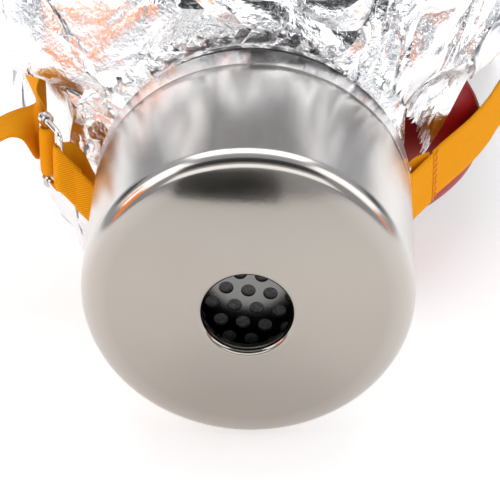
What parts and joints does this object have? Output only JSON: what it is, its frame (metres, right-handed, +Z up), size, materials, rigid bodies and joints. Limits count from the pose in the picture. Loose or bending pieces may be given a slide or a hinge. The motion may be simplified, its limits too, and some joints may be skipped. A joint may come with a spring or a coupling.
{
  "type": "smoke hood",
  "caption": "Foil smoke hood on its neck hem, with a steel filter canister lying in front, a rubber half mask inside and an orange webbing head strap.",
  "frame": {"origin": "centre of the neck opening, in the plane that the hood stands on", "axes": "+Z up through the crown; -Y out of the canister inlet; +X to the right seen from the inlet side"},
  "size_m": [0.2264, 0.3371, 0.3017],
  "materials": {
    "stainless": "polished stainless steel",
    "perforated_steel": "satin perforated sheet",
    "carbon_felt": "dark grey carbon-fibre felt",
    "paper_filter": "pleated glass-fibre paper",
    "catalyst": "brown-black granules",
    "carbon": "black granules",
    "white_felt": "white needle felt",
    "spring_steel": "plain spring steel",
    "black_rubber": "matte",
    "valve_plastic": "moulded",
    "red_rubber": "soft satin",
    "wire_steel": "bright nickel-plated wire",
    "webbing": "ribbed woven webbing",
    "foil": "bright crumpled aluminised cloth",
    "foil_trim": "folded and stitched",
    "visor_film": "clear film"
  },
  "bodies": {
    "root": {"canister_shell": "stainless", "canister_rear_cover": "stainless", "inlet_grille": "perforated_steel", "prefilter_felt": "carbon_felt", "particulate_filter": "paper_filter", "catalyst_bed": "catalyst", "bed_screen": "perforated_steel", "carbon_bed": "carbon", "outlet_felt": "white_felt", "outlet_grille": "perforated_steel", "wave_spring": "spring_steel", "outlet_port": "stainless", "port_gasket": "black_rubber", "inhale_valve_seat": "valve_plastic", "inhale_valve_stud": "spring_steel", "mask_clamp_ring": "spring_steel", "half_mask": "red_rubber", "exhale_valve_seat": "valve_plastic", "exhale_valve_cover": "valve_plastic", "strap_anchor_plate": "spring_steel", "slider_frame": "wire_steel", "anchor_strap": "webbing", "strap_tail": "webbing", "head_strap": "webbing", "strap_loop": "webbing", "strap_keepers": "foil_trim", "hood_collar": "foil", "collar_clamp": "spring_steel", "hood_front_panel": "foil", "hood_brow_panel": "foil", "hood_back_panel": "foil", "hood_side_seam": "foil_trim", "visor_window": "visor_film", "visor_border": "foil_trim", "neck_hem_resting": "foil_trim", "neck_hem_raised": "foil_trim"},
    "sliding_bar": {"slider_bar": "wire_steel", "strap_turn": "webbing"},
    "inhale_disc": {"inhale_flap": "black_rubber"},
    "exhale_disc": {"exhale_flap": "black_rubber"}
  },
  "joints": [
    {"name": "slider_bar_slide", "type": "slide", "parent": "root", "child": "sliding_bar", "axis": [0.4726, -0.8813, 0], "range_m": [0, 0.0055]},
    {"name": "inhale_flap_lift", "type": "slide", "parent": "root", "child": "inhale_disc", "axis": [0, 1, 0], "range_m": [0, 0.0015]},
    {"name": "exhale_flap_lift", "type": "slide", "parent": "root", "child": "exhale_disc", "axis": [0, -1, 0], "range_m": [0, 0.0015]}
  ]
}
